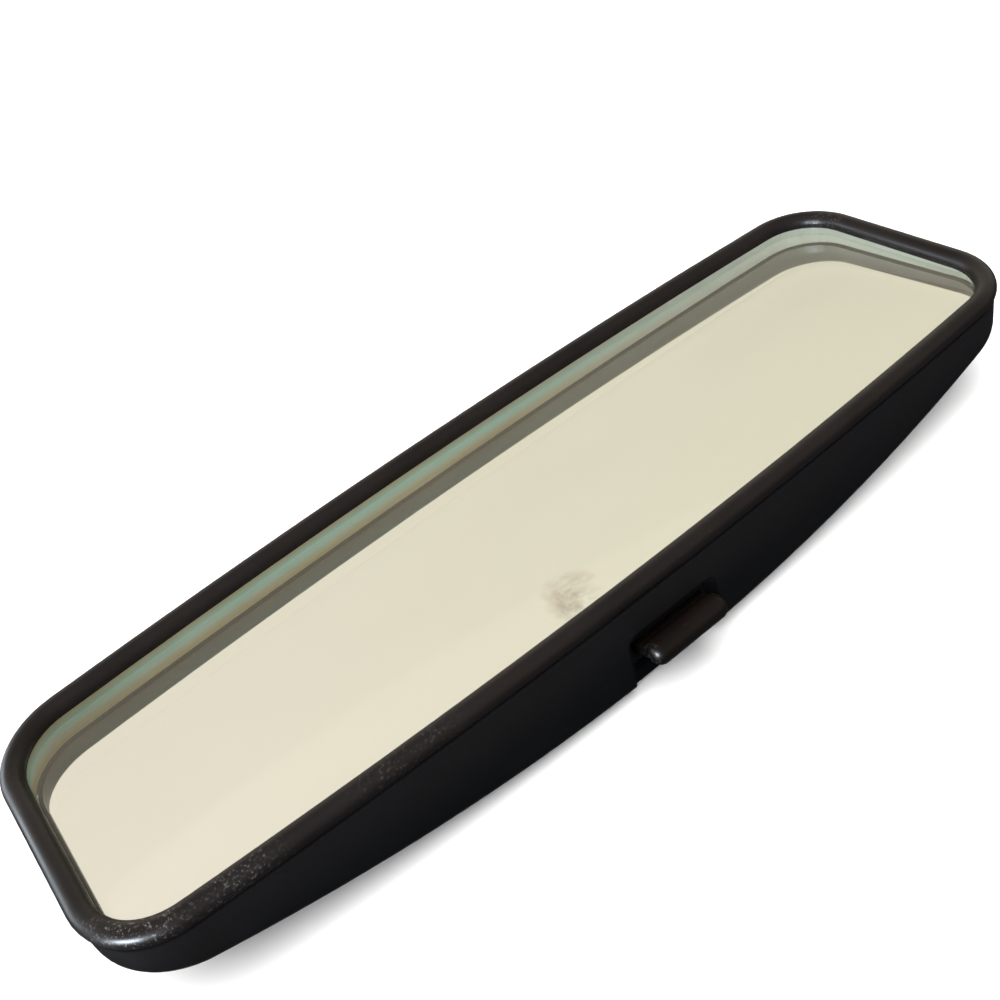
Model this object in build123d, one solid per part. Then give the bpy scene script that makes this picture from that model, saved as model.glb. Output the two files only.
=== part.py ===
from build123d import *
import os
from math import sqrt, radians, degrees, sin, cos, tan, atan, asin

# Interior rearview mirror head with a day/night lever, lying on its back.
# X runs along the mirror, Y towards its top edge, Z out of the glass.
# While it is built, Z = 0 is the centre of the rim bead; the last step moves every
# piece so that the origin is the middle of the part's footprint. Sizes in mm.

# Rim outline, measured on the centreline of the bead
overall_length = 220.0
end_height = 57.3
side_bow = 4.0
corner_radius = 13.8
bead_radius = 2.15

# Rear housing
shell_reach = 1.65       # outer wall outside the bead's centreline
wall = 1.5
edge_depth = 24.4        # depth of the back where it meets the long walls, at mid length
end_depth = 11.1         # depth of the back where it meets the ends
back_crown = 1.8         # extra depth of the back at its middle
rest_flat = 0.4          # depth of the flat that the housing lies on
back_edge_radius = 4.5
parting_gap = 0.15       # between the bead and the housing wall below it

# Front bezel
skirt_wall = 0.95
skirt_gap = 0.1          # skirt to housing wall
skirt_depth = 4.5
lip_reach = 2.2          # inner edge of the rim, inside the centreline
lip_rise = 0.2

# Prism glass and what backs it
glass_drop = 0.8         # front face of the glass below the bead's centreline
glass_gap = 0.15         # glass edge to skirt
glass_top = 6.3          # thickness at the top edge
glass_bottom = 2.4       # thickness at the bottom edge
glass_bevel = 0.35
glass_index = 1.52
silver_thickness = 0.12
silver_margin = 0.7
film_thickness = 0.5
film_margin = 2.0

# Ball joint and stem
ball_radius = 5.5
ball_y = 12.0
ball_rise = 8.0          # centre of the ball in front of edge_depth
sphere_gap = 0.12
liner_wall = 0.9
socket_wall = 1.15
split_at = 1.0           # where the socket's two halves meet, along the stem's line
split_gap = 0.05
lug_width = 4.0
lug_height = 4.4
lug_depth = 2.2          # lug of the cap, along the stem's line
cap_screw_radius = 0.8
cap_screw_length = 4.4
cap_head_radius = 1.5
ball_flat = 0.5          # flat on the ball where the neck leaves it
shaft_depth = 2.9        # shaft below the ball's centre
stem_droop = 8.0         # degrees below the mirror's own plane
neck_radius = 2.6
neck_clear = 2.35        # neck beyond the mirror's top edge
neck_taper = 2.0
shank_radius = 4.0
shank_length = 5.5
spigot_radius = 3.0
spigot_length = 8.0
shaft_radius = 2.0
shaft_gap = 0.05
pan_limit = 15.0
tilt_limit = 14.0

# Pocket in the housing for the stem
pocket_gap = 2.83        # side clearance around the ball socket
pocket_wall = 1.2
pocket_rise = 5.7        # ceiling above the ball's centre
pocket_start = 6.4       # from the ball's centre to where the ceiling begins

# Carrier that ties the ball socket to the housing
carrier_rise = 7.6       # front face above the ball's centre
carrier_plate = 1.6
carrier_half = 11.9
hinge_y = 14.0
hinge_rise = 5.4         # hinge above the ball's centre
hinge_pin_radius = 1.25
bush_wall = 0.7
ear_radius = 3.1
ear_width = 2.2
running_gap = 0.05

# Day/night lever
lever_inset = 6.65       # pivot inside the rim's centreline
lever_rise = 7.0         # pivot in front of edge_depth
lever_swing = 44.0       # degrees from day to night
lever_pin_radius = 1.0
barrel_radius = 2.2
barrel_half = 11.0
tab_reach = 12.4         # centre of the tab's bar from the lever pin
tab_radius = 2.6
tab_half = 9.05
tab_shift = 1.6          # middle of the tab from the middle of the mirror
web_thickness = 2.0
crank_pin_radius = 0.9
crank_arm_half = 1.6
crank_slack = 0.3
crank_inner = 5.2        # sides of each crank arm from the middle
crank_outer = 7.2
fork_inner = 2.6         # sides of each fork prong from the middle
fork_outer = 4.4
tongue_half = 4.6
carrier_neck_half = 8.0
carrier_low = -8.0       # lower edge of the wide plate
carrier_rib = 2.0

# Thumb recess in the bottom wall
recess_half = 10.3       # half length of its floor
recess_depth = 2.6
recess_draft = 20.0      # degrees that its ends lean outwards
recess_height = 15.4     # from edge_depth to its front edge
recess_corner = 2.5

# Frame that carries both hinge pins
rail_inner = 13.1
rail_wall = 1.5
flange_rise = 6.8        # back of the side flanges in front of edge_depth
flange_plate = 1.4
flange_half = 24.0
frame_past_hinge = 6.5
frame_inset = 3.05       # bottom of the frame inside the rim's centreline
rail_rise = 2.1          # back of the rails in front of edge_depth
cross_plate = 1.1        # plate that joins the rails under the lever
spring_reach = 9.5       # from the lever pivot to the end of the spring's tongue
spring_half = 2.0
spring_thickness = 0.3
spring_foot = 4.5        # length that lies on the frame
rivet_radius = 1.3
rivet_height = 0.6
screw_x = 20.0
screw_radius = 1.2
screw_grip = 5.0
screw_head_radius = 2.3
screw_head = 1.4
drive_length = 3.2
drive_width = 0.6
boss_radius = 3.0

# Posts behind the glass
post_radius = 3.0
pad_radius = 3.6
pad_thickness = 1.6
post_spread = (0.417, 0.76)   # of half the length
post_y = 15.0

half_length = overall_length / 2 - bead_radius
half_height = end_height / 2 + side_bow
side_radius = (half_length**2 + side_bow**2) / (2 * side_bow)
side_centre = half_height - side_radius
apex_depth = edge_depth + back_crown
back_drop = apex_depth - end_depth
back_radius = ((half_length + shell_reach)**2 + back_drop**2) / (2 * back_drop)
floor_z = rest_flat - apex_depth
crown_radius = (half_height**2 + back_crown**2) / (2 * back_crown)
seat_z = -bead_radius - parting_gap
glass_edge = -(skirt_gap + skirt_wall + glass_gap) + shell_reach - wall
glass_half = half_height + glass_edge
wedge = degrees(atan((glass_top - glass_bottom) / (2 * glass_half)))
flip_tilt = glass_index * wedge
liner_in = ball_radius + sphere_gap
liner_out = liner_in + liner_wall
socket_in = liner_out + sphere_gap
socket_out = socket_in + socket_wall
neck_angle = degrees(asin(neck_radius / ball_radius))
liner_mouth = neck_angle + tilt_limit + 2.5
cap_mouth = neck_angle + sqrt(pan_limit**2 + tilt_limit**2) + 3.0
ball_z = ball_rise - edge_depth
neck_end = half_height - ball_y + neck_clear
shank_start = neck_end + neck_taper
shank_end = shank_start + shank_length
stem_end = shank_end + spigot_length
lug_screw_x = socket_out + cap_screw_radius
pocket_half = socket_out + pocket_gap
pocket_roof = ball_z + pocket_rise
carrier_front = ball_z + carrier_rise
hinge_z = ball_z + hinge_rise
lever_y = lever_inset - half_height
lever_z = lever_rise - edge_depth
recess_front = recess_height - edge_depth
rail_front = carrier_front + 0.2
rail_back = rail_rise - edge_depth
flange_back = flange_rise - edge_depth
frame_top = hinge_y + frame_past_hinge
frame_bottom = frame_inset - half_height
cross_end = lever_y + 1.0
spring_rest = lever_y + spring_reach
screw_ys = (lever_y + 3.0, hinge_y + 2.0)
rail_outer = rail_inner + rail_wall
half_swing = lever_swing / 2
flip_sine = sin(radians(flip_tilt))
crank_reach = (hinge_y - lever_y) * flip_sine / (
    2 * sin(radians(half_swing)) + flip_sine * cos(radians(half_swing)))
crank_y = lever_y + crank_reach * cos(radians(half_swing))
crank_z = lever_z - crank_reach * sin(radians(half_swing))
crank_day_z = lever_z + crank_reach * sin(radians(half_swing))
cross_top = rail_back + cross_plate
deep = 80.0              # longer than any cut needs to be

stem_plane = Plane(origin=(0, ball_y, ball_z), x_dir=(1, 0, 0),
                   z_dir=(0, cos(radians(stem_droop)), -sin(radians(stem_droop))))
tab_plane = Plane(origin=(0, lever_y, lever_z), x_dir=(1, 0, 0),
                  z_dir=(0, -cos(radians(half_swing)), sin(radians(half_swing))))
# The carrier and the ball joint are drawn in the day position and turned to night.
to_night = Pos(0, hinge_y, hinge_z) * Rot(flip_tilt, 0, 0) * Pos(0, -hinge_y, -hinge_z)


def span(x, y, z):
    # box between two values on each axis
    return Pos((x[0] + x[1]) / 2, (y[0] + y[1]) / 2, (z[0] + z[1]) / 2) * Box(
        x[1] - x[0], y[1] - y[0], z[1] - z[0])


def both_sides(solid):
    return Part() + [solid, mirror(solid, about=Plane.YZ)]


def rod_x(radius, x0, x1, y, z):
    return Pos((x0 + x1) / 2, y, z) * Rot(0, 90, 0) * Cylinder(radius, x1 - x0)


def outline(offset):
    # rim outline: bowed long sides, straight ends, round corners
    x = half_length + offset
    radius = side_radius + offset
    y_end = side_centre + sqrt(radius**2 - x**2)
    y_mid = side_centre + radius
    edges = [
        ThreePointArc((-x, y_end), (0, y_mid), (x, y_end)),
        Line((x, y_end), (x, -y_end)),
        ThreePointArc((x, -y_end), (0, -y_mid), (-x, -y_end)),
        Line((-x, -y_end), (-x, y_end)),
    ]
    face = make_face(edges)
    return fillet(face.vertices(), corner_radius + offset)


def slab(offset, top, bottom):
    return Pos(0, 0, bottom) * extrude(outline(offset), top - bottom)


def back_block(inset):
    # everything in front of the crowned, swept back
    radius = crown_radius - inset
    low = -apex_depth + inset
    reach = half_height + 2 * shell_reach
    rise = radius - sqrt(radius**2 - reach**2)
    arc = ThreePointArc((0, -reach, low + rise), (0, 0, low), (0, reach, low + rise))
    sides = Polyline((0, reach, low + rise), (0, reach, deep / 4), (0, -reach, deep / 4),
                     (0, -reach, low + rise))
    axis = Axis((0, 0, back_radius - apex_depth), (0, 1, 0))
    sweep_angle = degrees(asin((half_length + 4 * shell_reach) / (back_radius - deep / 2)))
    face = make_face([arc, sides]).rotate(axis, -sweep_angle)
    return revolve(face, axis, 2 * sweep_angle)


def bowl(inset):
    # filled housing, its surface moved in by inset
    body = slab(shell_reach - inset, 2, -deep) & back_block(inset)
    back = body.faces().sort_by(Axis.Z)[0]
    body = fillet(back.edges(), back_edge_radius - inset)
    return body & span((-deep * 2, deep * 2), (-deep, deep), (floor_z + min(inset, wall), deep))


def prism(front, back_extra, offset):
    # wedge between a flat front and a back parallel to the silvered face
    return slab(offset, front, -deep) & silver_side(back_extra)


def silver_side(extra):
    # half space in front of the silvered face, moved back by extra
    low = -glass_drop - (glass_top + glass_bottom) / 2 - extra
    block = Pos(0, 0, deep / 2) * Box(4 * deep, 2 * deep, deep)
    return Pos(0, 0, low) * Rot(-wedge, 0, 0) * block


def bead_run(edge):
    # one straight or curved run of the round bead
    section = Plane(origin=edge @ 0, z_dir=edge % 0) * Circle(bead_radius)
    if edge.geom_type == GeomType.LINE:
        return extrude(section, edge.length)
    if edge.radius > half_length:
        points = [edge @ (i / 8) for i in range(9)]
        return sweep(section, path=Spline(points, tangents=[edge % 0, edge % 1]))
    centre = edge.arc_center
    side = ((edge @ 0) - centre).cross((edge @ 1) - centre).Z
    axis = Axis(centre, (0, 0, 1 if side > 0 else -1))
    return revolve(section, axis, degrees(edge.length / edge.radius))


def make_bezel():
    bead = [bead_run(edge) for edge in outline(0).face().outer_wire().edges()]
    outer = shell_reach - wall - skirt_gap
    skirt = slab(outer, lip_rise, -skirt_depth) - slab(-lip_reach, 1, -deep)
    return (Part() + [*bead, skirt]) - slab(outer - skirt_wall, -glass_drop, -deep)


def make_glass():
    glass = prism(-glass_drop, 0, glass_edge)
    front = glass.faces().sort_by(Axis.Z)[-1]
    return chamfer(front.edges(), glass_bevel)


def make_silver():
    sheet = prism(-glass_drop, silver_thickness, glass_edge - silver_margin)
    return sheet - silver_side(0)


def make_film():
    sheet = prism(-glass_drop, silver_thickness + film_thickness, glass_edge - film_margin)
    return sheet - silver_side(silver_thickness)


def pocket_shape(grow, top):
    # channel that the stem leaves by, open at the top edge of the mirror
    half = pocket_half + grow
    return span((-half, half), (ball_y + pocket_start, deep), (-deep, top))


def back_opening():
    # hole in the back around the ball socket, running into the pocket
    hole = Pos(0, ball_y, -deep / 2) * Cylinder(pocket_half, deep)
    hole += span((-pocket_half, pocket_half), (ball_y, ball_y + pocket_start + 1), (-deep, 0))
    return hole & span((-deep, deep), (-deep, deep), (-deep, -edge_depth + 3 * wall))


def recess_shape(grow):
    half = recess_half + grow
    front = recess_front + grow
    inner = -(half_height + shell_reach - recess_depth - grow)
    mouth_y = inner - 4 * recess_depth
    flare = 4 * recess_depth * tan(radians(recess_draft))
    floor = [(tab_shift - half, inner), (tab_shift + half, inner)]
    rim = [(tab_shift + half + flare, mouth_y), (tab_shift - half - flare, mouth_y)]
    section = make_face(Polyline(*floor, *rim, close=True))
    cut = Pos(0, 0, -deep) * extrude(section, deep + front)
    corners = [edge for edge in cut.edges().group_by(Axis.Z)[-1] if abs((edge % 0).Y) > 0.5]
    return fillet(corners, recess_corner + grow)


def lever_slot():
    # room for the lever's web through the recess wall
    reach = half_height + shell_reach - recess_depth + lever_y
    rise = reach * tan(radians(half_swing)) + web_thickness / 2 / cos(radians(half_swing)) + 0.4
    inner = -(half_height + shell_reach - recess_depth - wall - 0.5)
    return span((tab_shift - tab_half, tab_shift + tab_half), (-deep, inner),
                (lever_z - rise, lever_z + rise))


def screw_spots():
    return [(side * screw_x, y) for side in (-1, 1) for y in screw_ys]


def post_spots():
    return [(sx * part * half_length, sy * post_y)
            for sx in (-1, 1) for part in post_spread for sy in (-1, 1)]


def pad_gap():
    return silver_thickness + film_thickness


def make_housing():
    outer = bowl(0)
    shell = outer - bowl(wall) - span((-2 * deep, 2 * deep), (-deep, deep), (seat_z, deep))
    bosses = [Pos(x, y, flange_back - deep / 2) * Cylinder(boss_radius, deep) for x, y in screw_spots()]
    posts = Part() + [Pos(x, y, -deep / 2) * Cylinder(post_radius, deep) for x, y in post_spots()]
    posts -= silver_side(pad_gap() + pad_thickness)
    pocket = pocket_shape(pocket_wall, pocket_roof + pocket_wall) - pocket_shape(0, pocket_roof)
    inside = Part() + [*bosses, posts, pocket, recess_shape(wall)]
    body = shell + (inside & outer & span((-2 * deep, 2 * deep), (-deep, deep), (-deep, seat_z)))
    body -= [pocket_shape(0, pocket_roof), back_opening(), recess_shape(0), lever_slot()]
    pilot = screw_radius + running_gap
    body -= [Pos(x, y, flange_back - screw_grip / 2 + 0.5) * Cylinder(pilot, screw_grip + 1)
             for x, y in screw_spots()]
    return body.solids().sort_by(SortBy.VOLUME)[-1]


def make_pads():
    discs = Part() + [Pos(x, y, -deep / 2) * Cylinder(pad_radius, deep) for x, y in post_spots()]
    return (discs & silver_side(pad_gap() + pad_thickness)) - silver_side(pad_gap())


def make_frame():
    rail = span((rail_inner, rail_outer), (frame_bottom, frame_top), (rail_back, rail_front))
    flange = span((rail_inner, flange_half), (frame_bottom, frame_top),
                  (flange_back, flange_back + flange_plate))
    cross = span((-rail_outer, rail_outer), (frame_bottom, cross_end), (rail_back, cross_top))
    cross += span((-spring_half - 0.2, spring_half + 0.2), (cross_end - 1, spring_rest),
                  (rail_back, cross_top))
    frame = both_sides(rail) + both_sides(flange) + cross
    frame -= rod_x(hinge_pin_radius, -deep, deep, hinge_y, hinge_z)
    frame -= rod_x(lever_pin_radius, -deep, deep, lever_y, lever_z)
    frame -= [Pos(x, y, flange_back) * Cylinder(screw_radius + 0.2, deep) for x, y in screw_spots()]
    return frame & bowl(wall + 0.3)


def make_screws():
    top = flange_back + flange_plate
    head = Pos(0, 0, top + screw_head / 2) * Cylinder(screw_head_radius, screw_head)
    shank = Pos(0, 0, (top + flange_back - screw_grip + 0.5) / 2) * Cylinder(
        screw_radius, top - flange_back + screw_grip - 0.5)
    depth = 2 * drive_width
    drive = Box(drive_length, drive_width, depth) + Box(drive_width, drive_length, depth)
    screw = head + shank - Pos(0, 0, top + screw_head) * drive
    return Part() + [Pos(x, y, 0) * screw for x, y in screw_spots()]


def make_hinge_pins():
    inner = carrier_half - ear_width - 0.3
    return both_sides(rod_x(hinge_pin_radius, inner, rail_outer, hinge_y, hinge_z))


def make_bushes():
    inner = carrier_half - ear_width
    bore = hinge_pin_radius + running_gap
    tube = rod_x(bore + bush_wall, inner, carrier_half, hinge_y, hinge_z)
    flange = rod_x(bore + bush_wall + 0.8, carrier_half, carrier_half + 0.7, hinge_y, hinge_z)
    return to_night * both_sides(tube + flange - rod_x(bore, 0, deep, hinge_y, hinge_z))


def socket_half(low, high):
    # part of the round socket between two distances along the stem's line
    ball = Sphere(socket_out) - Sphere(socket_in)
    slice_box = Pos(0, 0, (low + high) / 2) * Box(4 * socket_out, 4 * socket_out, high - low)
    return ball & slice_box


def mouth(angle):
    # cone that opens from the ball's centre along the stem's line
    height = 3 * socket_out
    return Pos(0, 0, height / 2) * Cone(0.01, height * tan(radians(angle)), height)


def lug(low, high):
    block = Pos(socket_out + 0.3, 0, (low + high) / 2) * Box(lug_width, lug_height, high - low)
    return both_sides(block - Sphere(socket_in))


def make_carrier():
    back = carrier_front - carrier_plate
    prong = (fork_inner, fork_outer)
    plate = span((-carrier_half, carrier_half), (carrier_low, hinge_y + ear_radius),
                 (back, carrier_front))
    tongue = span((-tongue_half, tongue_half), (crank_y + 2.4, carrier_low + 2),
                  (back, carrier_front))
    neck = span((-carrier_neck_half, carrier_neck_half), (carrier_low - 6, carrier_low + 2),
                (back, carrier_front))
    fork = span(prong, (crank_y - 1.4, crank_y + 2.7), (crank_day_z - 2.1, carrier_front))
    rib = span(prong, (crank_y, 3.0), (back - carrier_rib, carrier_front))
    ear = rod_x(ear_radius, carrier_half - ear_width, carrier_half, hinge_y, hinge_z)
    cup = stem_plane * (socket_half(-socket_out - 1, split_at) + lug(-2.6, split_at))
    body = Part() + [plate, tongue, neck, both_sides(rib), both_sides(fork), both_sides(ear), cup]
    body -= Pos(0, ball_y, ball_z) * Sphere(socket_in)
    body -= stem_plane * (Pos(0, 0, split_at + 10) * Cylinder(socket_out + 0.4, 20))
    body -= rod_x(hinge_pin_radius + running_gap + bush_wall, -deep, deep, hinge_y, hinge_z)
    pilot = stem_plane * (Pos(lug_screw_x, 0, 0) * Cylinder(cap_screw_radius + running_gap, 6.0))
    body = to_night * (body - both_sides(pilot))
    slot_end = crank_y + crank_pin_radius + 2.5 * crank_slack
    slot_half = crank_pin_radius + crank_slack
    body -= span((-deep, deep), (crank_y - 4, slot_end), (crank_z - slot_half, crank_z + slot_half))
    return body.solids().sort_by(SortBy.VOLUME)[-1]


def make_cap():
    low = split_at + split_gap
    ring = socket_half(low, socket_out) + lug(low, split_at + lug_depth)
    ring -= [mouth(cap_mouth), Sphere(socket_in)]
    ring -= both_sides(Pos(lug_screw_x, 0, split_at) * Cylinder(cap_screw_radius + 0.15, 8.0))
    return to_night * (stem_plane * ring)


def make_cap_screws():
    top = split_at + lug_depth
    head = Pos(0, 0, top + 0.5) * Cylinder(cap_head_radius, 1.0)
    shank = Pos(0, 0, top - cap_screw_length / 2) * Cylinder(cap_screw_radius, cap_screw_length)
    screw = head + shank - Pos(0, 0, top + 1.0) * Box(2.4, 0.5, 0.9)
    return to_night * (stem_plane * both_sides(Pos(lug_screw_x, 0, 0) * screw))


def make_liner():
    shell = Sphere(liner_out) - Sphere(liner_in) - mouth(liner_mouth)
    return to_night * (stem_plane * shell)


def make_ball():
    flat = ball_radius - ball_flat
    ball = Sphere(ball_radius) & Pos(0, 0, flat - deep / 2) * Box(deep, deep, deep)
    bore = Pos(0, 0, deep / 2 - shaft_depth - 0.1) * Cylinder(shaft_radius + shaft_gap, deep)
    return to_night * (stem_plane * (ball - bore))


def make_stem():
    start = ball_radius - ball_flat + shaft_gap
    profile = Polyline(
        (0, -shaft_depth), (shaft_radius, -shaft_depth), (shaft_radius, start), (neck_radius, start),
        (neck_radius, neck_end), (shank_radius, shank_start), (shank_radius, shank_end),
        (spigot_radius, shank_end), (spigot_radius, stem_end - 0.8),
        (spigot_radius - 0.8, stem_end), (0, stem_end), (0, -shaft_depth))
    solid = revolve(Plane.XZ * make_face(profile), Axis.Z)
    flats = Pos(0, 0, (shank_start + shank_end) / 2 + 0.5) * (
        Box(3 * shank_radius, 3 * shank_radius, 5.0) - Box(2 * shank_radius - 1.2, deep, 5.0))
    return to_night * (stem_plane * (solid - flats))


def make_lever():
    barrel = Rot(0, 90, 0) * Cylinder(barrel_radius, 2 * barrel_half)
    web = Pos(tab_shift, 0, tab_reach / 2) * Box(2 * tab_half - 1.0, web_thickness, tab_reach)
    bar = Pos(tab_shift, 0, tab_reach) * Rot(0, 90, 0) * Cylinder(tab_radius, 2 * tab_half)
    bar = fillet(bar.edges().filter_by(GeomType.CIRCLE), tab_radius - 0.5)
    grooves = [Pos(0, side * web_thickness / 2, tab_reach - tab_radius - 1.4) *
               Box(4 * tab_half, 0.7, 0.9) for side in (-1, 1)]
    body = tab_plane * (Part() + [barrel, web, bar] - grooves)
    arm = Pos(0, lever_y, lever_z) * Rot(-half_swing, 0, 0) * span(
        (crank_inner, crank_outer), (0, crank_reach), (-crank_arm_half, crank_arm_half))
    tip = rod_x(crank_arm_half, crank_inner, crank_outer, crank_y, crank_z)
    body += both_sides(arm + tip)
    body -= rod_x(lever_pin_radius + running_gap, -deep, deep, lever_y, lever_z)
    body -= rod_x(crank_pin_radius, -deep, deep, crank_y, crank_z)
    return body


def make_spring():
    # leaf that lies on the frame and rises to just below the lever's barrel
    crest = lever_z - barrel_radius - 0.3 - spring_thickness / 2
    base = cross_top + spring_thickness / 2
    line = Polyline((spring_rest, base), (spring_rest - spring_foot, base), (lever_y, crest),
                    (lever_y - 2.2, base + 0.25))
    strip = trace(line, spring_thickness)
    return extrude(Plane.YZ.offset(-spring_half) * strip, 2 * spring_half)


def make_spring_rivet():
    base = cross_top + spring_thickness
    return Pos(0, spring_rest - 2.0, base + rivet_height / 2) * Cylinder(rivet_radius, rivet_height)


def all_pieces():
    return {
        "rear_housing": make_housing(),
        "front_bezel": make_bezel(),
        "prism_glass": make_glass(),
        "silver_coating": make_silver(),
        "backing_film": make_film(),
        "glass_pads": make_pads(),
        "mechanism_frame": make_frame(),
        "frame_screws": make_screws(),
        "hinge_pins": make_hinge_pins(),
        "hinge_bushes": make_bushes(),
        "lever_pin": rod_x(lever_pin_radius, -rail_outer, rail_outer, lever_y, lever_z),
        "day_night_lever": make_lever(),
        "crank_pin": rod_x(crank_pin_radius, -crank_outer, crank_outer, crank_y, crank_z),
        "detent_spring": make_spring(),
        "spring_rivet": make_spring_rivet(),
        "toggle_carrier": make_carrier(),
        "socket_cap": make_cap(),
        "cap_screws": make_cap_screws(),
        "socket_liner": make_liner(),
        "ball": make_ball(),
        "stem": make_stem(),
    }


def main():
    pieces = all_pieces()
    box = Compound(children=[Compound(p.wrapped) for p in pieces.values()]).bounding_box()
    shift = Pos(-(box.min.X + box.max.X) / 2, -(box.min.Y + box.max.Y) / 2, -box.min.Z)
    os.makedirs("parts", exist_ok=True)
    for name, piece in pieces.items():
        export_step(shift * piece, f"parts/{name}.step")
    print("origin moved by", shift.position)


if __name__ == "__main__":
    main()
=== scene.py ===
import bpy, math
from mathutils import Vector, Matrix


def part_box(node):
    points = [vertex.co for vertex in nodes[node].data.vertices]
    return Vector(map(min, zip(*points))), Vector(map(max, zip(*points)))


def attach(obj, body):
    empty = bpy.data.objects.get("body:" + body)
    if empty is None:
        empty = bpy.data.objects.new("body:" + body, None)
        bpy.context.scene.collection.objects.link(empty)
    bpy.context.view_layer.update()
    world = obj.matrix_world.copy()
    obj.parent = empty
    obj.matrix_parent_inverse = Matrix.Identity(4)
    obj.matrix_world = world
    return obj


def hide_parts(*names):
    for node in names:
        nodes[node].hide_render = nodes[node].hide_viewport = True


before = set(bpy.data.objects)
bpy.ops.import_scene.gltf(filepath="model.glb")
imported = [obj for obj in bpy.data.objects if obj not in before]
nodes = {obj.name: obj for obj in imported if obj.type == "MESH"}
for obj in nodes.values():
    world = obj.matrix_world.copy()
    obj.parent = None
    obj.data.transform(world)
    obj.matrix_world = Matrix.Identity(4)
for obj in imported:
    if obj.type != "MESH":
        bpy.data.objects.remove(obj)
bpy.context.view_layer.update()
print("frame loaded:", len(nodes), "nodes")

# Interior rearview mirror head on its back. Lengths are in metres, +Z out of the glass.
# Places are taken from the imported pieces, so the looks follow them.

beadRadius = 0.00215
bezelLow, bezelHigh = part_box("front_bezel")
leverLow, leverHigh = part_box("day_night_lever")
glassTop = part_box("prism_glass")[1][2]
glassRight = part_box("prism_glass")[1][0]
midY = (bezelLow[1] + bezelHigh[1]) / 2
beadZ = bezelHigh[2] - beadRadius


def newMaterial(name):
    mat = bpy.data.materials.new(name)
    mat.use_nodes = True
    tree = mat.node_tree
    return mat, tree, tree.nodes["Principled BSDF"]


def link(tree, source, target):
    tree.links.new(source, target)


def objectCoords(tree):
    for node in tree.nodes:
        if node.bl_idname == "ShaderNodeTexCoord":
            return node.outputs["Object"]
    return tree.nodes.new("ShaderNodeTexCoord").outputs["Object"]


def axes(tree, coords):
    node = tree.nodes.new("ShaderNodeSeparateXYZ")
    link(tree, coords, node.inputs[0])
    return node.outputs


def pattern(tree, noise, stretch=None):
    # noise is a scale, a detail and a roughness
    coords = objectCoords(tree)
    if stretch:
        mapping = tree.nodes.new("ShaderNodeMapping")
        mapping.inputs["Scale"].default_value = stretch
        link(tree, coords, mapping.inputs["Vector"])
        coords = mapping.outputs["Vector"]
    node = tree.nodes.new("ShaderNodeTexNoise")
    for socket, value in zip(("Scale", "Detail", "Roughness"), noise):
        node.inputs[socket].default_value = value
    link(tree, coords, node.inputs["Vector"])
    return node.outputs["Fac"]


def ramp(tree, source, span, result=(0.0, 1.0)):
    # a smooth step over span
    node = tree.nodes.new("ShaderNodeMapRange")
    node.interpolation_type = "SMOOTHSTEP"
    for socket, value in zip(("From Min", "From Max", "To Min", "To Max"), (*span, *result)):
        node.inputs[socket].default_value = value
    link(tree, source, node.inputs["Value"])
    return node.outputs["Result"]


def maths(tree, operation, first, second):
    node = tree.nodes.new("ShaderNodeMath")
    node.operation = operation
    for socket, value in zip(node.inputs, (first, second)):
        if isinstance(value, (int, float)):
            socket.default_value = value
        else:
            link(tree, value, socket)
    return node.outputs["Value"]


def mixColour(tree, fac, first, second):
    node = tree.nodes.new("ShaderNodeMix")
    node.data_type = "RGBA"
    link(tree, fac, node.inputs["Factor"])
    for socket, value in ((node.inputs["A"], first), (node.inputs["B"], second)):
        if isinstance(value, (tuple, list)):
            socket.default_value = (*value[:3], 1.0)
        else:
            link(tree, value, socket)
    return node.outputs["Result"]


def distanceMask(tree, place, reach):
    # 1 within the first reach of a place, 0 beyond the second
    node = tree.nodes.new("ShaderNodeVectorMath")
    node.operation = "DISTANCE"
    link(tree, objectCoords(tree), node.inputs[0])
    node.inputs[1].default_value = place
    return ramp(tree, node.outputs["Value"], reach, (1.0, 0.0))


def addBump(tree, shader, height, strength, distance, after=None):
    bump = tree.nodes.new("ShaderNodeBump")
    bump.inputs["Strength"].default_value = strength
    bump.inputs["Distance"].default_value = distance
    link(tree, height, bump.inputs["Height"])
    if after:
        link(tree, after, bump.inputs["Normal"])
    link(tree, bump.outputs["Normal"], shader.inputs["Normal"])
    return bump.outputs["Normal"]


# Moulded plastic, for the housing, rim, tab, frame, bushes and pads.
# A wear spot is a place, its two reaches and how strong it is.
plasticLook = {
    "colour": (0.0034, 0.0042, 0.0054), "warmColour": (0.0048, 0.0050, 0.0056),
    "cloud": (40.0, 4.0, 0.55), "cloudSpan": (0.35, 0.68),
    "smear": (70.0, 5.0, 0.6), "smearSpan": (0.3, 0.72), "rough": (0.34, 0.50),
    "speck": (1400.0, 2.0, 0.7), "speckSpan": (0.735, 0.775),
    "dust": 0.16, "dustColour": (0.22, 0.21, 0.19),
    "scuff": (1700.0, 6.0, 0.75), "scuffSpan": (0.54, 0.66), "scuffRough": 0.25,
    "specular": 0.13,
    "grain": (2600.0, 3.0, 0.6), "grainStrength": 0.25, "grainDepth": 0.00006,
    "wave": (60.0, 2.0, 0.55), "waveStrength": 0.25, "waveDepth": 0.0002,
    "paintedTopLight": None, "wearSpots": (),
}
# The housing gets painted light: its wall is coloured lighter towards the top, near the rim.
housingLook = dict(plasticLook, paintedTopLight=(0.0125, 0.0118, 0.0128),
                   paintedTopLightSpan=(beadZ - 0.020, beadZ + 0.001))
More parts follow.
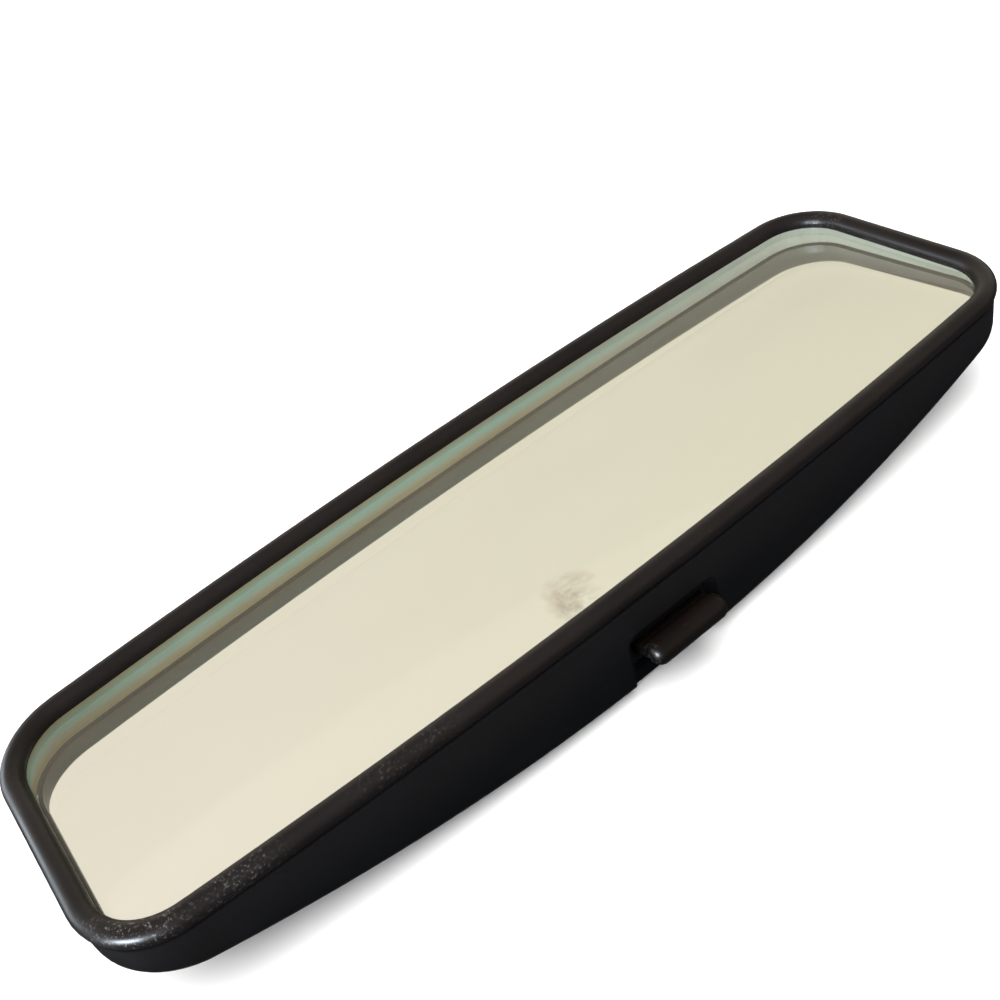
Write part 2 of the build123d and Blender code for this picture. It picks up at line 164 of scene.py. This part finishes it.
rimLook = dict(
    plasticLook, colour=(0.0078, 0.0062, 0.0060), warmColour=(0.0105, 0.0080, 0.0074),
    specular=0.24, rough=(0.30, 0.44), grainStrength=0.16,
    wearSpots=[((bezelLow[0] + 0.006, bezelLow[1] + 0.006, beadZ), (0.002, 0.013), 0.75),
               ((-0.086, bezelLow[1] + 0.004, beadZ), (0.001, 0.012), 0.45),
               ((-0.055, bezelLow[1] + 0.002, beadZ), (0.001, 0.016), 0.18),
               ((0.106, bezelHigh[1] - 0.016, beadZ), (0.001, 0.006), 0.4)])
tabCorner = (leverLow[0] + 0.003, leverLow[1] + 0.003, leverHigh[2] - 0.003)
tabLook = dict(plasticLook, colour=(0.0042, 0.0029, 0.0023), warmColour=(0.0058, 0.0038, 0.0029),
               specular=0.24, rough=(0.28, 0.40), wearSpots=[(tabCorner, (0.001, 0.004), 0.7)])
frameLook = dict(plasticLook, colour=(0.02, 0.02, 0.022), warmColour=(0.03, 0.03, 0.03))
nylonLook = dict(plasticLook, colour=(0.55, 0.52, 0.44), warmColour=(0.62, 0.58, 0.48))
foamLook = dict(plasticLook, colour=(0.03, 0.03, 0.03), rough=(0.8, 0.95))


def wearMask(tree, look):
    wear = None
    for place, reach, amount in look["wearSpots"]:
        spot = maths(tree, "MULTIPLY", distanceMask(tree, place, reach), amount)
        wear = spot if wear is None else maths(tree, "MAXIMUM", wear, spot)
    return wear


def mouldedPlastic(name, look):
    mat, tree, shader = newMaterial(name)
    cloud = ramp(tree, pattern(tree, look["cloud"]), look["cloudSpan"])
    colour = mixColour(tree, cloud, look["colour"], look["warmColour"])
    rough = ramp(tree, pattern(tree, look["smear"]), look["smearSpan"], look["rough"])
    # painted light: the colour turns lighter towards the top
    if look["paintedTopLight"]:
        height = ramp(tree, axes(tree, objectCoords(tree))["Z"], look["paintedTopLightSpan"])
        colour = mixColour(tree, height, colour, look["paintedTopLight"])
    dust = ramp(tree, pattern(tree, look["speck"]), look["speckSpan"])
    dust = maths(tree, "MULTIPLY", dust, look["dust"])
    wear = wearMask(tree, look)
    if wear:
        scuff = ramp(tree, pattern(tree, look["scuff"]), look["scuffSpan"])
        scuff = maths(tree, "MULTIPLY", scuff, wear)
        dust = maths(tree, "MAXIMUM", dust, scuff)
        rough = maths(tree, "ADD", rough, maths(tree, "MULTIPLY", scuff, look["scuffRough"]))
    link(tree, mixColour(tree, dust, colour, look["dustColour"]), shader.inputs["Base Color"])
    link(tree, rough, shader.inputs["Roughness"])
    shader.inputs["Specular IOR Level"].default_value = look["specular"]
    grain = addBump(tree, shader, pattern(tree, look["grain"]),
                    look["grainStrength"], look["grainDepth"])
    addBump(tree, shader, pattern(tree, look["wave"]),
            look["waveStrength"], look["waveDepth"], grain)
    return mat


# Metal, for the pins, screws, spring and ball
steelLook = {
    "colour": (0.55, 0.55, 0.54), "dark": (0.38, 0.38, 0.38),
    "streak": (300.0, 4.0, 0.6), "stretch": (0.2, 1.0, 1.0), "streakSpan": (0.3, 0.7),
    "rough": (0.22, 0.42), "bump": 0.3, "bumpDepth": 0.00002,
}
zincLook = dict(steelLook, colour=(0.60, 0.58, 0.50), dark=(0.45, 0.43, 0.38), rough=(0.35, 0.55))


def metal(name, look):
    mat, tree, shader = newMaterial(name)
    streak = pattern(tree, look["streak"], look["stretch"])
    link(tree, mixColour(tree, streak, look["colour"], look["dark"]), shader.inputs["Base Color"])
    link(tree, ramp(tree, streak, look["streakSpan"], look["rough"]), shader.inputs["Roughness"])
    shader.inputs["Metallic"].default_value = 1.0
    addBump(tree, shader, streak, look["bump"], look["bumpDepth"])
    return mat


# Clear glass under a thin film of dust, with one brown spot painted on it as a reflection
glassLook = {
    "tint": (0.965, 0.985, 0.962), "index": 1.52,
    "haze": (30.0, 4.0, 0.55), "hazeSpan": (0.45, 0.75), "hazeRough": (0.0, 0.02),
    "film": 0.040, "filmColour": (0.82, 0.73, 0.52),
    "wipe": (26.0, 5.0, 0.6), "wipeStretch": (0.5, 1.6, 1.0), "wipeSpan": (0.3, 0.75),
    "wipeAmount": (0.85, 1.25),
    "speck": (800.0, 2.0, 0.6), "speckSpan": (0.74, 0.78), "speckAmount": (0.0, 0.12),
    # painted reflection: a brown spot on the glass near its middle
    "paintedReflectionAt": (-0.0120, midY - 0.0240, glassTop), "paintedReflectionReach": (0.0005, 0.0065),
    "paintedReflection": (240.0, 3.0, 0.55), "paintedReflectionSpan": (0.38, 0.66), "paintedReflectionEdge": (0.0, 0.10),
    "paintedReflectionColour": (0.20, 0.12, 0.06), "paintedReflectionAmount": 0.40,
}


def clearGlass():
    look = glassLook
    mat, tree, shader = newMaterial("clearGlass")
    shader.inputs["Base Color"].default_value = (*look["tint"], 1.0)
    shader.inputs["Transmission Weight"].default_value = 1.0
    shader.inputs["IOR"].default_value = look["index"]
    haze = ramp(tree, pattern(tree, look["haze"]), look["hazeSpan"], look["hazeRough"])
    link(tree, haze, shader.inputs["Roughness"])
    wipe = ramp(tree, pattern(tree, look["wipe"], look["wipeStretch"]),
                look["wipeSpan"], look["wipeAmount"])
    speck = ramp(tree, pattern(tree, look["speck"]), look["speckSpan"], look["speckAmount"])
    amount = maths(tree, "ADD", maths(tree, "MULTIPLY", wipe, look["film"]), speck)
    # painted reflection: a brown spot mixed into the dust film
    paintedReflection = maths(tree, "MULTIPLY", distanceMask(tree, look["paintedReflectionAt"], look["paintedReflectionReach"]),
                   ramp(tree, pattern(tree, look["paintedReflection"]), look["paintedReflectionSpan"]))
    amount = maths(tree, "ADD", amount, maths(tree, "MULTIPLY", paintedReflection, look["paintedReflectionAmount"]))
    paintedReflectionTint = ramp(tree, paintedReflection, look["paintedReflectionEdge"])
    film = tree.nodes.new("ShaderNodeBsdfDiffuse")
    link(tree, mixColour(tree, paintedReflectionTint, look["filmColour"], look["paintedReflectionColour"]),
         film.inputs["Color"])
    mix = tree.nodes.new("ShaderNodeMixShader")
    for socket, source in zip(mix.inputs, (amount, shader.outputs[0], film.outputs[0])):
        link(tree, source, socket)
    link(tree, mix.outputs[0], tree.nodes["Material Output"].inputs["Surface"])
    return mat


# Frosted edge of the glass: sandy at the front, teal at the silvered back. Paler to the right and a
# faint glow are painted light.
edgeLook = {
    "front": (0.50, 0.40, 0.17), "middle": (0.60, 0.64, 0.44), "back": (0.44, 0.74, 0.60),
    # painted light: the paler colour at the edge's right end
    "right": (0.90, 0.97, 0.84),
    "depthSpan": (glassTop - 0.0060, glassTop - 0.0012), "rightSpan": (0.0, glassRight),
    "streak": (260.0, 3.0, 0.6), "streakStretch": (0.15, 0.15, 6.0), "streakSpan": (0.35, 0.7),
    "streakAmount": (0.0, 0.35), "paintedGlow": 0.10, "rough": 0.6, "specular": 0.2,
}


def groundEdge():
    look = edgeLook
    mat, tree, shader = newMaterial("groundEdge")
    place = axes(tree, objectCoords(tree))
    colour = mixColour(tree, ramp(tree, place["Z"], look["depthSpan"]), look["back"], look["front"])
    streak = ramp(tree, pattern(tree, look["streak"], look["streakStretch"]),
                  look["streakSpan"], look["streakAmount"])
    colour = mixColour(tree, streak, colour, look["middle"])
    # painted light: paler towards the right end, where light through the glass falls on the edge
    colour = mixColour(tree, ramp(tree, place["X"], look["rightSpan"]), colour, look["right"])
    link(tree, colour, shader.inputs["Base Color"])
    # painted glow: the edge gives off a faint light in its own colour
    link(tree, colour, shader.inputs["Emission Color"])
    shader.inputs["Emission Strength"].default_value = look["paintedGlow"]
    shader.inputs["Roughness"].default_value = look["rough"]
    shader.inputs["Specular IOR Level"].default_value = look["specular"]
    return mat


silverLook = {
    "colour": (0.945, 0.94, 0.92), "warm": (0.925, 0.92, 0.89), "rough": 0.012,
    "tone": (14.0, 2.0, 0.55), "toneSpan": (0.3, 0.7),
}


def silvering():
    look = silverLook
    mat, tree, shader = newMaterial("silvering")
    tone = ramp(tree, pattern(tree, look["tone"]), look["toneSpan"])
    link(tree, mixColour(tree, tone, look["colour"], look["warm"]), shader.inputs["Base Color"])
    shader.inputs["Metallic"].default_value = 1.0
    shader.inputs["Roughness"].default_value = look["rough"]
    return mat


def paintNode(name, mat):
    mesh = nodes[name].data
    mesh.materials.clear()
    mesh.materials.append(mat)
    print("painted", name)


housingMat = mouldedPlastic("housingPlastic", housingLook)
frameMat = mouldedPlastic("framePlastic", frameLook)
nylonMat = mouldedPlastic("nylon", nylonLook)
steelMat = metal("turnedSteel", steelLook)
zincMat = metal("zincPlate", zincLook)
silverMat = silvering()

for name, mat in {
    "rear_housing": housingMat, "stem": housingMat,
    "front_bezel": mouldedPlastic("rimPlastic", rimLook),
    "day_night_lever": mouldedPlastic("tabPlastic", tabLook),
    "mechanism_frame": frameMat, "toggle_carrier": frameMat, "socket_cap": frameMat,
    "backing_film": frameMat, "glass_pads": mouldedPlastic("foam", foamLook),
    "silver_coating": silverMat,
    "hinge_pins": steelMat, "lever_pin": steelMat, "crank_pin": steelMat,
    "detent_spring": steelMat, "ball": steelMat,
    "spring_rivet": zincMat, "frame_screws": zincMat, "cap_screws": zincMat,
    "hinge_bushes": nylonMat, "socket_liner": nylonMat,
}.items():
    paintNode(name, mat)


# A copy of the prism glass, clear at the front and bevel, frosted at the edge and silvered behind.
# Its back is lifted a hair, so that it doesn't fall in one plane with the silvering.
prismLook = {"clearAbove": 0.3, "silverBelow": -0.9, "backLift": 0.00002}


def makeGlass():
    look = prismLook
    mesh = nodes["prism_glass"].data.copy()
    mesh.name = "prismGlass"
    mesh.materials.clear()
    for mat in (clearGlass(), groundEdge(), silverMat):
        mesh.materials.append(mat)
    for face in mesh.polygons:
        up = face.normal.z
        face.material_index = 0 if up > look["clearAbove"] else 2 if up < look["silverBelow"] else 1
        face.use_smooth = False
    for vertex in mesh.vertices:
        if vertex.normal.z < 0:
            vertex.co.z += look["backLift"]
    piece = bpy.data.objects.new("prismGlass", mesh)
    bpy.context.scene.collection.objects.link(piece)
    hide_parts("prism_glass")
    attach(piece, "head")
    print("prism glass made")


makeGlass()


# White floor for the camera, dark in the object's own reflections
floorLook = {
    "size": 6.0, "colour": (0.93, 0.93, 0.925), "mirrored": (0.035, 0.035, 0.038), "rough": 0.9,
}


def makeFloor():
    look = floorLook
    half = look["size"] / 2
    mesh = bpy.data.meshes.new("floor")
    mesh.from_pydata([(-half, -half, 0), (half, -half, 0), (half, half, 0), (-half, half, 0)],
                     [], [(0, 1, 2, 3)])
    floor = bpy.data.objects.new("floor", mesh)
    bpy.context.scene.collection.objects.link(floor)
    mat, tree, shader = newMaterial("floorPaper")
    path = tree.nodes.new("ShaderNodeLightPath")
    link(tree, mixColour(tree, path.outputs["Is Camera Ray"], look["mirrored"], look["colour"]),
         shader.inputs["Base Color"])
    shader.inputs["Roughness"].default_value = look["rough"]
    shader.inputs["Specular IOR Level"].default_value = 0.0
    mesh.materials.append(mat)


# Even white fill behind a white backdrop. Reflections see a warm wall under a dark ceiling;
# the wall is brightest towards one direction in plan and changes colour to the right.
worldLook = {
    "fill": (0.42, 0.42, 0.42), "backdrop": (1.0, 1.0, 1.0), "ceiling": (0.10, 0.095, 0.09),
    "wall": (0.96, 0.885, 0.775), "wallRight": (0.875, 0.825, 0.675), "rightSpan": (-0.3, 0.6),
    "towards": (0.15, 1.0), "towardsSpan": (-0.2, 0.55), "dimmest": 0.36,
    "ceilingSpan": (0.55, 0.90),
}


def makeWorld():
    look = worldLook
    world = bpy.data.worlds.new("studio")
    world.use_nodes = True
    bpy.context.scene.world = world
    tree = world.node_tree
    place = axes(tree, tree.nodes.new("ShaderNodeTexCoord").outputs["Generated"])
    towards = maths(tree, "ADD", maths(tree, "MULTIPLY", place["X"], look["towards"][0]),
                    maths(tree, "MULTIPLY", place["Y"], look["towards"][1]))
    side = ramp(tree, towards, look["towardsSpan"], (look["dimmest"], 1.0))
    height = ramp(tree, place["Z"], look["ceilingSpan"], (1.0, 0.0))
    wall = mixColour(tree, ramp(tree, place["X"], look["rightSpan"]),
                     look["wall"], look["wallRight"])
    wall = mixColour(tree, maths(tree, "MULTIPLY", side, height), look["ceiling"], wall)
    path = tree.nodes.new("ShaderNodeLightPath").outputs
    mirrored = maths(tree, "MAXIMUM", path["Is Glossy Ray"], path["Is Transmission Ray"])
    seen = mixColour(tree, mirrored, look["fill"], wall)
    link(tree, mixColour(tree, path["Is Camera Ray"], seen, look["backdrop"]),
         tree.nodes["Background"].inputs["Color"])


# Two panes that show only as highlights, and a wide soft key that makes the shadows
lampLook = {
    "paneColour": (0.80, 0.89, 1.0), "panesFace": (0.0, 0.0, 0.02),
    "windowPlace": (-0.62, -0.24, 0.085), "windowSize": (0.22, 0.16), "windowPower": 14.0,
    "skyPlace": (-0.50, 0.46, 0.11), "skySize": (0.55, 0.24), "skyPower": 3.4,
    "keyFrom": (-0.22, -0.24, 0.90), "keyAngle": 62.0, "keyStrength": 5.4,
}


def aimedLamp(name, kind, power, direction):
    light = bpy.data.lights.new(name, kind)
    light.energy = power
    lamp = bpy.data.objects.new(name, light)
    lamp.rotation_euler = Vector(direction).to_track_quat("-Z", "Y").to_euler()
    bpy.context.scene.collection.objects.link(lamp)
    return lamp, light


def makeLamps():
    look = lampLook
    for name in ("window", "sky"):
        place = Vector(look[name + "Place"])
        lamp, light = aimedLamp(name, "AREA", look[name + "Power"],
                                Vector(look["panesFace"]) - place)
        lamp.location = place
        lamp.visible_diffuse = False
        light.shape = "RECTANGLE"
        light.size, light.size_y = look[name + "Size"]
        light.color = look["paneColour"]
    lamp, light = aimedLamp("key", "SUN", look["keyStrength"], -Vector(look["keyFrom"]))
    lamp.visible_glossy = False
    lamp.visible_transmission = False
    light.angle = math.radians(look["keyAngle"])


# Camera placed about the middle of the rim, looking down on it from the tab's side
cameraLook = {
    "lens": 42.66, "sensor": 36.0, "place": (-0.0849, -0.1569, 0.1505),
    "right": (0.7696, -0.5936, -0.2352), "up": (0.5419, 0.4124, 0.7323),
}


def makeCamera():
    look = cameraLook
    data = bpy.data.cameras.new("camera")
    data.lens = look["lens"]
    data.sensor_width = look["sensor"]
    right = Vector(look["right"]).normalized()
    up = Vector(look["up"])
    up = (up - right * up.dot(right)).normalized()
    turn = Matrix((right, up, right.cross(up))).transposed()
    camera = bpy.data.objects.new("camera", data)
    place = Vector(look["place"]) + Vector((0, midY, beadZ))
    camera.matrix_world = Matrix.Translation(place) @ turn.to_4x4()
    bpy.context.scene.collection.objects.link(camera)
    bpy.context.scene.camera = camera


makeFloor()
makeWorld()
makeLamps()
makeCamera()
bpy.context.scene.view_settings.view_transform = "Standard"
print("stage set")
